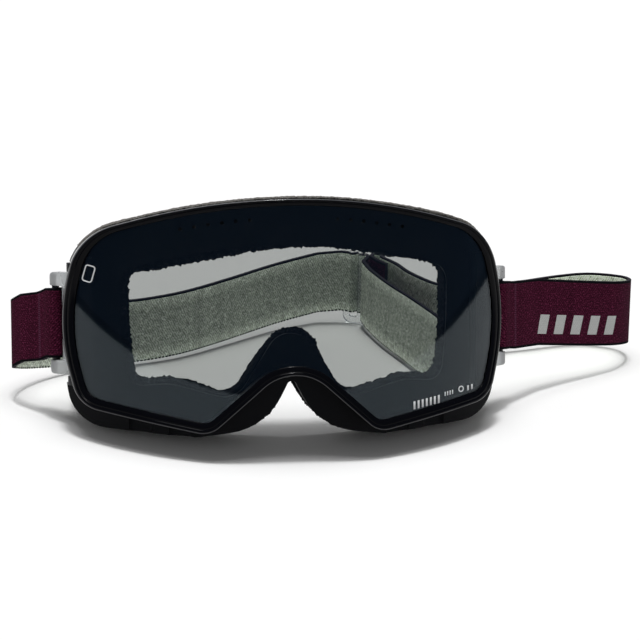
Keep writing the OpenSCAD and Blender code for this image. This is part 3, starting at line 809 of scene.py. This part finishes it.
def smoothRun(points, steps):
    result = []
    n = len(points)
    for i in range(n - 1):
        a, b = points[max(i - 1, 0)], points[i]
        c, d = points[i + 1], points[min(i + 2, n - 1)]
        for k in range(steps):
            t = k / steps
            result.append(tuple(
                0.5 * (2 * b[m] + (c[m] - a[m]) * t + (2 * a[m] - 5 * b[m] + 4 * c[m] - d[m]) * t * t
                       + (3 * b[m] - a[m] - 3 * c[m] + d[m]) * t ** 3) for m in range(5)))
    return result + [points[-1]]


face = slider["thick"] / 2
plateLength = 3 * slider["bar"] + sum(slider["slots"])
slotA = -plateLength / 2 + slider["bar"]
slotB = plateLength / 2 - slider["bar"] - slider["slots"][1]
slant = math.degrees(math.atan2(slider["thick"], slider["slots"][0])
                     + math.asin(2 * bendRadius / math.hypot(slider["thick"], slider["slots"][0])))
middleBar = (slotA + slider["slots"][0], slotB)
endBar = (slotB + slider["slots"][1], plateLength / 2)
leftWeave = weaveRun(
    [(-plateLength / 2 - slider["margin"], -face - bendRadius)] + aroundBar(slotA, -face, -90, slant - 90)
    + aroundBar(middleBar[0], face, slant + 90, 90) + aroundBar(middleBar[1], face, 90, 0)
    + [(middleBar[1] + bendRadius, -face), (middleBar[1] + bendRadius, -slider["leave"])],
    *slider["leftRise"])
rightWeave = weaveRun(
    [(endBar[1] + bendRadius, -face - bendRadius)] + aroundBar(endBar[1], face, 0, 90)
    + aroundBar(endBar[0], face, 90, 180) + [(endBar[0] - bendRadius, -face - slider["margin"])],
    *slider["rightRise"])
leftRoute = (endLoop(-1, strap["drop"]["left"])
             + smoothRun(nearRun(-1, leftNear) + rearRun(leftRear), strap["runSteps"])
             + leftWeave + smoothRun(rearRun(leftTail), strap["tailSteps"]))
rightRoute = (endLoop(1, strap["drop"]["right"])
              + smoothRun(nearRun(1, rightNear) + rearRun(rightRear), strap["runSteps"])
              + rightWeave + [(x, y, strapMiddle + slider["sewnRise"], 0, 0) for x, y in rightSewn])


shortest = 1e-6   # keeps a doubled point of a route from dividing by nothing


def evenRoute(route, step):   # the same route in even steps, with its length so far
    at = [0.0]
    for a, b in zip(route, route[1:]):
        at.append(at[-1] + (Vector(b[:3]) - Vector(a[:3])).length)
    count = round(at[-1] / step)
    result, k = [], 0
    for i in range(count + 1):
        s = at[-1] * i / count
        while k < len(at) - 2 and at[k + 1] < s:
            k += 1
        t = (s - at[k]) / max(at[k + 1] - at[k], shortest)
        result.append((s, [a + (b - a) * t for a, b in zip(route[k], route[k + 1])]))
    return result


# a woven band along the route from start to end, given by their lengths along it
def bandPiece(name, route, start, end, mark, materials, turnOver):
    steps = evenRoute(route, strap["step"])
    first = min(range(len(steps)), key=lambda i: abs(steps[i][0] - start))
    last = min(range(len(steps)), key=lambda i: abs(steps[i][0] - end))
    mesh = bmesh.new()
    bmesh.ops.create_grid(mesh, x_segments=last - first, y_segments=strap["across"], size=0.5)
    uv = mesh.loops.layers.uv.new("weave")
    places = [Vector(s[1][:3]) for s in steps]
    frames = []
    for i in range(first, last + 1):
        wide = Vector((steps[i][1][3], steps[i][1][4], 1)).normalized()
        frames.append((floorFrame(places[i]), wide, steps[i][0]))
    tell = {}
    for v in mesh.verts:
        middleAt, wide, s = frames[round((v.co.x + 0.5) * (last - first))]
        side = v.co.y * 2
        v.co = middleAt + wide * side * (halfWidth - strap["rounded"])
        tell[v.index] = (s + mark, side * halfWidth)
    for f in mesh.faces:
        for loop in f.loops:
            loop[uv].uv = tell[loop.vert.index]
    if turnOver:
        bmesh.ops.reverse_faces(mesh, faces=mesh.faces)
    piece = finishPiece(mesh, name, None, "strap", materials)
    shell = piece.modifiers.new("cloth", "SOLIDIFY")
    shell.thickness = strap["thick"] * metre
    shell.offset = 0
    shell.use_rim = True
    shell.use_even_offset = False
    shell.material_offset = 1
    shell.material_offset_rim = 2
    return piece


# woven cloth: a twill of two yarns, on the band's own lengths in millimetres
twillSet = {
    "wanderScale": 0.33,
    "pickPitch": 0.7,            # crossing yarns, as a share of the yarn's own pitch
    "pickShare": 0.5,
    "hairScale": 1.2,
    "brightness": 2.1,
    "fleckRange": (0.52, 0.72),
    "stripScale": 0.16,
    "strips": (0.36, 0.82),      # how much the cloth's shade changes along it, and its darkest
    "hairHeight": 0.6,
    "bump": 0.55,
    "dent": 0.00025,
}
twill, given = newGroup(
    "twill",
    [("Color", "NodeSocketColor", None), ("Deep", "NodeSocketColor", None),
     ("Speck", "NodeSocketColor", None), ("Yarn", "NodeSocketFloat", 0.9),
     ("Lean", "NodeSocketFloat", 0.6), ("Crinkle", "NodeSocketFloat", 0.0),
     ("Fleck", "NodeSocketFloat", 1.0)],
    [("Color", "NodeSocketColor"), ("Height", "NodeSocketFloat"), ("Across", "NodeSocketFloat"),
     ("Along", "NodeSocketFloat")])
parts = addNode(twill, "ShaderNodeSeparateXYZ", {0: addNode(twill, "ShaderNodeUVMap", uv_map="weave")})
along, across = parts.outputs[0], parts.outputs[1]
flat = addNode(twill, "ShaderNodeCombineXYZ", {0: along, 1: across})
wander = addNode(twill, "ShaderNodeTexNoise", {"Vector": flat}, Scale=twillSet["wanderScale"], Detail=4)
bent = mathNode(twill, "MULTIPLY", wander.outputs["Fac"], given["Crinkle"])
leaned = mathNode(twill, "ADD", mathNode(twill, "MULTIPLY_ADD", across, given["Lean"], along), bent)
turns = mathNode(twill, "MULTIPLY", mathNode(twill, "DIVIDE", leaned, given["Yarn"]), 2 * math.pi)
pickPitch = mathNode(twill, "MULTIPLY", given["Yarn"], twillSet["pickPitch"])
pickTurns = mathNode(twill, "MULTIPLY", mathNode(twill, "DIVIDE", across, pickPitch), 2 * math.pi)
cord = mathNode(twill, "MULTIPLY_ADD", mathNode(twill, "SINE", pickTurns), twillSet["pickShare"],
                mathNode(twill, "SINE", turns))
height = rangeNode(twill, cord, -1 - twillSet["pickShare"], 1 + twillSet["pickShare"])
hair = addNode(twill, "ShaderNodeTexNoise", {"Vector": flat}, Scale=twillSet["hairScale"], Detail=5)
shade = mathNode(twill, "MULTIPLY", mathNode(twill, "MULTIPLY", height, hair.outputs["Fac"]),
                 twillSet["brightness"])
shade.use_clamp = True
cloth = mixColors(twill, shade, given["Deep"], given["Color"])
fleck = addNode(twill, "ShaderNodeTexNoise", {"Vector": flat, "Scale": given["Fleck"]}, Detail=3)
specked = mixColors(twill, rangeNode(twill, fleck.outputs["Fac"], *twillSet["fleckRange"]), cloth,
                    given["Speck"])
farAlong = mathNode(twill, "MULTIPLY", along, twillSet["stripScale"])
strips = addNode(twill, "ShaderNodeTexNoise", {"W": farAlong}, noise_dimensions="1D", Scale=1.0, Detail=2)
strip = mathNode(twill, "MULTIPLY_ADD", strips.outputs["Fac"], *twillSet["strips"])
bumpHeight = mathNode(twill, "MULTIPLY_ADD", hair.outputs["Fac"], twillSet["hairHeight"], height)
closeGroup(twill, Color=scaleColor(twill, specked, strip), Height=bumpHeight, Across=across, Along=along)


# plain slanted dashes in groups, as a mask
def dashMask(tree, made, marks):
    up = mathNode(tree, "SUBTRACT", made["Across"], marks["height"])
    inRow = mathNode(tree, "LESS_THAN", mathNode(tree, "ABSOLUTE", up), marks["tall"] / 2)
    run = mathNode(tree, "ADD", made["Along"], mathNode(tree, "MULTIPLY", up, marks["slant"]))
    cell = mathNode(tree, "FRACT", mathNode(tree, "DIVIDE", run, marks["pitch"]))
    inDash = mathNode(tree, "LESS_THAN", cell, marks["share"])
    group = mathNode(tree, "FRACT", mathNode(tree, "DIVIDE", run, marks["every"]))
    inGroup = mathNode(tree, "LESS_THAN", group, marks["length"] / marks["every"])
    mask = mathNode(tree, "MULTIPLY", mathNode(tree, "MULTIPLY", inRow, inDash), inGroup)
    worn = mathNode(tree, "MULTIPLY_ADD", made["Height"], marks["worn"], 1 - marks["worn"])
    mask = mathNode(tree, "MULTIPLY", mask, worn)
    mask.use_clamp = True
    return mask


# painted light and the cloth's own blots: the cloth is painted lighter towards its edges, as light on the
# band's curve, and lighter round the right loop, as a lit part; the blots are its own uneven tone
def paintedLightAndBlotGain(tree, made, pale):
    side = mathNode(tree, "ABSOLUTE", made["Across"])
    # painted light: lighter towards the band's edges
    lift = rangeNode(tree, side, halfWidth - pale["edge"], halfWidth, 1.0, pale["lift"])
    # painted light: the right loop's inner face painted lighter, as a lit part
    loop = rangeNode(tree, made["Along"], *pale["loop"], pale["bright"], 1.0)
    weave = addNode(tree, "ShaderNodeUVMap", uv_map="weave")
    blots = addNode(tree, "ShaderNodeTexNoise", {"Vector": weave}, Scale=pale["blots"], Detail=5,
                    Roughness=0.7)
    blot = mathNode(tree, "MULTIPLY_ADD", blots.outputs["Fac"], pale["uneven"], 1 - pale["uneven"] / 2)
    return mathNode(tree, "MULTIPLY", mathNode(tree, "MULTIPLY", lift, loop), blot)


# a seam across the cloth: a dark dent with its stitches
def sewSeam(tree, made, shown, at, seams):
    away = mathNode(tree, "ABSOLUTE", mathNode(tree, "SUBTRACT", made["Along"], at))
    line = mathNode(tree, "LESS_THAN", away, seams["wide"] / 2)
    stitch = mathNode(tree, "FRACT", mathNode(tree, "DIVIDE", made["Across"], seams["stitch"]))
    sewn = mathNode(tree, "MULTIPLY", line, mathNode(tree, "LESS_THAN", stitch, seams["share"]))
    shown = mixColors(tree, mathNode(tree, "MULTIPLY", line, seams["shade"]), shown, seams["dark"])
    return mixColors(tree, mathNode(tree, "MULTIPLY", sewn, seams["shine"]), shown, seams["thread"])


# dark bound edges, the lower one dashed where a pitch is given
def bindEdges(tree, made, shown, edges):
    top = mathNode(tree, "GREATER_THAN", made["Across"], halfWidth - edges["top"])
    shown = mixColors(tree, top, shown, black)
    low = mathNode(tree, "LESS_THAN", made["Across"], edges["low"] - halfWidth)
    if edges["dash"]:
        beat = mathNode(tree, "FRACT", mathNode(tree, "DIVIDE", made["Along"], edges["dash"]))
        low = mathNode(tree, "MULTIPLY", low, mathNode(tree, "LESS_THAN", beat, edges["share"]))
    return mixColors(tree, low, shown, black)


# woven cloth with bound edges and sewn seams, and dashes, or painted light and blots, where they are
# given
def clothPaint(name, cloth, edges, seams, marks=None, pale=None):
    material = newPaint(name, cloth["Color"], 0.9, Specular_IOR_Level=0.06)
    tree = material.node_tree
    made = placeGroup(material, twill, **cloth)
    shown = made["Color"]
    # the pale cloth's painted light and its own blots
    if pale:
        shown = scaleColor(tree, shown, paintedLightAndBlotGain(tree, made, pale))
    if marks:
        shown = mixColors(tree, dashMask(tree, made, marks), shown, marks["color"])
    for at in seams["at"]:
        shown = sewSeam(tree, made, shown, at, seams)
    feed(material, Base_Color=bindEdges(tree, made, shown, edges))
    dentBy(material, made["Height"], twillSet["bump"], twillSet["dent"])
    return material


leftLength = evenRoute(leftRoute, strap["step"])[-1][0]
markStart = {"left": 60.0, "right": -485.0}   # where each strap lies on the woven pattern, millimetres
black = (0.003, 0.003, 0.005)
outerSet = {"Color": (0.078, 0.0065, 0.027), "Deep": (0.006, 0.001, 0.004), "Speck": (0.18, 0.03, 0.076),
            "Yarn": 1.15, "Lean": 0.8, "Crinkle": 0.5, "Fleck": 1.5}
innerSet = {"Color": (0.58, 0.63, 0.54), "Deep": (0.19, 0.215, 0.17), "Speck": (0.74, 0.78, 0.71),
            "Yarn": 1.1, "Lean": 0.55, "Crinkle": 2.2, "Fleck": 1.0}
outerEdges = {"top": 1.0, "low": 1.0, "dash": 0}
innerEdges = {"top": 0.8, "low": 0.7, "dash": 1.7, "share": 0.66}
# painted light on the pale cloth: lighter edges and a lighter right loop; the blots are the cloth's own
# uneven tone
paintedLightAndBlotSet = {"edge": 6.0, "lift": 1.9, "loop": (markStart["right"] + 165.0, markStart["right"] + 200.0),
           "bright": 1.55, "blots": 0.45, "uneven": 2.1}
seams = {"at": (markStart["left"] + 26.5, markStart["right"] + 27.5), "wide": 1.3, "stitch": 0.8,
         "share": 0.62, "shade": 0.45, "shine": 0.6,
         "dark": (0.03, 0.006, 0.016), "thread": (0.13, 0.04, 0.08)}
hem = {"at": (markStart["left"] + 26.5, markStart["right"] + 26.5, markStart["left"] + leftLength - 7.0),
       "wide": 0.9, "stitch": 2.4, "share": 0.62, "shade": 0.45, "shine": 0.6,
       "dark": (0.2, 0.22, 0.19), "thread": (0.7, 0.74, 0.68)}
dashes = {"height": -5.2, "tall": 8.4, "slant": -0.25, "pitch": 10.0, "share": 0.55, "worn": 0.2,
          "every": 110.0, "length": 50.0, "color": (0.55, 0.56, 0.55)}
outerCloth = clothPaint("burgundyWeave", outerSet, outerEdges, seams, marks=dashes)
innerCloth = clothPaint("paleWeave", innerSet, innerEdges, hem, pale=paintedLightAndBlotSet)
# the strap's cut edges: their own dark colour, kept a little paler than the black binding so that it
# shows as a painted highlight line along the top edge
edgeClothWithHighlight = mouldedPaint("boundEdgeWithHighlight", (0.02, 0.017, 0.024), 0.8, bump=0.5, pits=3000,
                         Specular_IOR_Level=0.15)
strapCloth = [outerCloth, innerCloth, edgeClothWithHighlight]
farEnd = 1e6   # past the end of both routes
straps = {}
for side, route in (("left", leftRoute), ("right", rightRoute)):
    cut = strap["cut"][side]
    mark = markStart[side]
    turnOver = side == "left"
    tail = side.title()
    endPart = bandPiece("strapEnd" + tail, route, 0, cut, mark, strapCloth, turnOver)
    rearPart = bandPiece("strapRear" + tail, route, cut, farEnd, mark, strapCloth, turnOver)
    straps[side] = (endPart, rearPart)
    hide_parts("strap_" + side)
# each strap piece's placement is baked into its mesh
for side in ("left", "right"):
    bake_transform(straps[side][0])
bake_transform(straps["left"][1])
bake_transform(straps["right"][1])
print("straps done")

# floor, light and camera


# a ray seen straight, or straight through clear plastic without a bounce inside it
def straightThrough(tree, path):
    straight = mathNode(tree, "LESS_THAN", path.outputs["Glossy Depth"], 0.5)
    through = mathNode(tree, "MULTIPLY", path.outputs["Is Transmission Ray"], straight)
    return mathNode(tree, "MAXIMUM", path.outputs["Is Camera Ray"], through)


stageSet = {
    "size": 4.0,
    "suns": [("overhead", 7.0, 1.3, (0.0, -0.08)),      # name, angle, strength, lean
             ("overheadSoft", 34.0, 1.35, (0.0, -0.08))],
    "floorShade": 0.8,
    "floorGain": 1.0,
    "floorReach": (1.1, 1.5),     # where the white floor ends in reflections, metres
    "floorMirror": 0.7,           # how bright the floor is in reflections
    "studioBlue": (0.06, 0.09, 0.14),
    "whiteBehind": (0.5, 0.95, 0.0, 0.8),   # direction backwards from and to, level from and to
    "softSky": (0.0, 0.7, 0.6, 0.12),       # direction upwards from and to, level from and to
}
mesh = bmesh.new()
bmesh.ops.create_grid(mesh, x_segments=1, y_segments=1, size=stageSet["size"])
floorData = bpy.data.meshes.new("floor")
mesh.to_mesh(floorData)
mesh.free()
floor = bpy.data.objects.new("floor", floorData)
bpy.context.scene.collection.objects.link(floor)
floorGray = (stageSet["floorShade"],) * 3
floorPaint = newPaint("paleFloor", floorGray, 0.9, Specular_IOR_Level=0.0)
tree = floorPaint.node_tree
path = addNode(tree, "ShaderNodeLightPath")
mirrored = path.outputs["Is Glossy Ray"]
seen = mathNode(tree, "MAXIMUM", straightThrough(tree, path), mirrored)
bright = mixColors(tree, seen, floorGray, (stageSet["floorGain"],) * 3)
place = addNode(tree, "ShaderNodeTexCoord").outputs["Object"]
spot = addNode(tree, "ShaderNodeVectorMath", {0: place}, operation="LENGTH")
reach = rangeNode(tree, spot.outputs["Value"], *stageSet["floorReach"], interpolation_type="SMOOTHSTEP")
shown = mixColors(tree, mathNode(tree, "MULTIPLY", reach, mirrored), bright, stageSet["studioBlue"])
dimmer = mathNode(tree, "MULTIPLY_ADD", mirrored, stageSet["floorMirror"] - 1, 1.0)
feed(floorPaint, Base_Color=scaleColor(tree, shown, dimmer))
floorData.materials.append(floorPaint)

world = bpy.data.worlds.new("studio")
bpy.context.scene.world = world
world.use_nodes = True
tree = world.node_tree
path = addNode(tree, "ShaderNodeLightPath")
softened = path.outputs["Is Diffuse Ray"]
looking = addNode(tree, "ShaderNodeTexCoord").outputs["Generated"]
parts = addNode(tree, "ShaderNodeSeparateXYZ", {0: looking})
behind = rangeNode(tree, parts.outputs[1], *stageSet["whiteBehind"], interpolation_type="SMOOTHSTEP")
above = rangeNode(tree, parts.outputs[2], *stageSet["softSky"])
level = addNode(tree, "ShaderNodeMix", {"Factor": softened, 2: behind, 3: above}, data_type="FLOAT")
strength = mathNode(tree, "MAXIMUM", straightThrough(tree, path), level)
dim = mixColors(tree, softened, stageSet["studioBlue"], (0.0, 0.0, 0.0))
backdrop = tree.nodes["Background"]
tree.links.new(mixColors(tree, strength, dim, (1.0, 1.0, 1.0)), backdrop.inputs["Color"])
backdrop.inputs["Strength"].default_value = 1.0

for name, angle, strength, lean in stageSet["suns"]:
    sunData = bpy.data.lights.new(name, "SUN")
    sunData.energy = strength
    sunData.angle = math.radians(angle)
    sun = bpy.data.objects.new(name, sunData)
    bpy.context.scene.collection.objects.link(sun)
    sun.rotation_mode = "QUATERNION"
    sun.rotation_quaternion = Vector((*lean, -1)).to_track_quat("-Z", "Y")

# the photo's camera, fitted to its outlines: its place in the CAD's frame and its three directions
view = {
    "lens": 138.147,
    "place": (-105.59, -942.36, 359.96),
    "right": (0.99264, -0.11908, 0.02201),
    "up": (0.01686, 0.31587, 0.94865),
    "back": (-0.11992, -0.9413, 0.31555),
}
cameraData = bpy.data.cameras.new("photo")
cameraData.lens = view["lens"]
cameraData.sensor_width = 36.0
camera = bpy.data.objects.new("photo", cameraData)
bpy.context.scene.collection.objects.link(camera)
turn = Matrix((view["right"], view["up"], view["back"])).transposed()
camera.matrix_world = Matrix.Translation(floorFrame(view["place"]) * metre) @ turn.to_4x4()
bpy.context.scene.camera = camera
bpy.context.scene.view_settings.view_transform = "Standard"
print("stage done")
